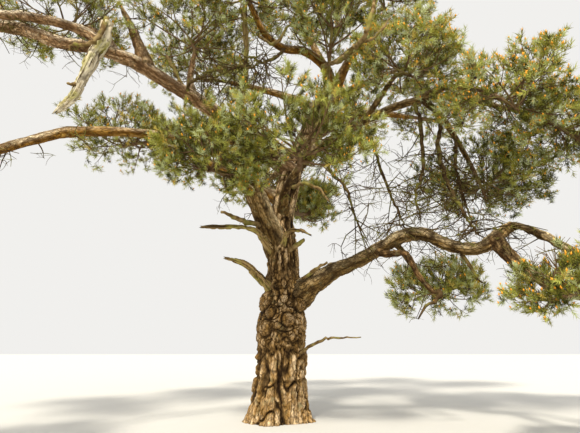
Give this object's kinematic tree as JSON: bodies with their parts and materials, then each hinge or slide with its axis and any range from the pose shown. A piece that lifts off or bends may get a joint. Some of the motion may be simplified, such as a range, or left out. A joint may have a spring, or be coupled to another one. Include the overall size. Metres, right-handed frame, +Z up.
{
  "type": "scots pine tree",
  "caption": "Old open-grown pine tree with a thick burred trunk, long snaking low boughs, dead snags and a broad broken crown of needle sprays.",
  "frame": {"origin": "middle of the flat cut under the trunk, at ground level", "axes": "+Z up; +X towards the long low bough, the right side in the picture; -Y towards the picture's camera"},
  "size_m": [18.2707, 12.202, 13.9024],
  "materials": {
    "bark_trunk": "deeply fissured plates of grey-brown bark",
    "bark_limbs": "scaly bark, pinkish brown with pale grey tops",
    "dead_wood": "bare, bleached and cracked, with some lichen",
    "needles": "matt grey-green needles in sprays"
  },
  "bodies": {
    "root": {"trunk": "bark_trunk", "left_stem": "bark_limbs", "mid_left_bough": "bark_limbs", "upper_left_bough": "bark_limbs", "upper_left_top": "bark_limbs", "front_bough": "bark_limbs", "front_left_bough": "bark_limbs", "right_low_bough": "bark_limbs", "right_low_drop": "bark_limbs", "right_low_hook": "bark_limbs", "right_arch_bough": "bark_limbs", "right_arch_drop": "bark_limbs", "right_rise_bough": "bark_limbs", "right_reach_bough": "bark_limbs", "right_front_bough": "bark_limbs", "top_left_limb": "bark_limbs", "top_right_limb": "bark_limbs", "top_leader": "bark_limbs", "left_high_bough": "bark_limbs", "left_far_high_bough": "bark_limbs", "back_left_bough": "bark_limbs", "back_bough": "bark_limbs", "back_right_bough": "bark_limbs", "back_far_right_bough": "bark_limbs", "high_right_bough": "bark_limbs", "high_left_bough": "bark_limbs", "low_left_back_bough": "bark_limbs", "low_right_back_bough": "bark_limbs", "upright_snag": "dead_wood", "torn_limb": "dead_wood", "lichened_limb": "dead_wood", "long_left_stub": "dead_wood", "low_left_stub": "dead_wood", "front_stub": "dead_wood", "front_foliage": "needles", "front_left_foliage": "needles", "right_front_foliage": "needles", "right_rise_foliage": "needles", "right_reach_foliage": "needles", "right_middle_foliage": "needles", "near_right_foliage": "needles", "outer_right_foliage": "needles", "low_back_right_foliage": "needles", "left_high_foliage": "needles", "left_far_high_foliage": "needles", "left_low_foliage": "needles", "left_outer_foliage": "needles", "left_outer_front_foliage": "needles", "back_left_foliage": "needles", "back_foliage": "needles", "back_right_foliage": "needles", "back_far_right_foliage": "needles", "high_right_foliage": "needles", "high_left_foliage": "needles", "low_left_back_foliage": "needles", "crown_top_foliage": "needles", "top_right_foliage": "needles", "top_front_foliage": "needles", "top_middle_foliage": "needles", "behind_trunk_foliage": "needles"}
  },
  "joints": []
}
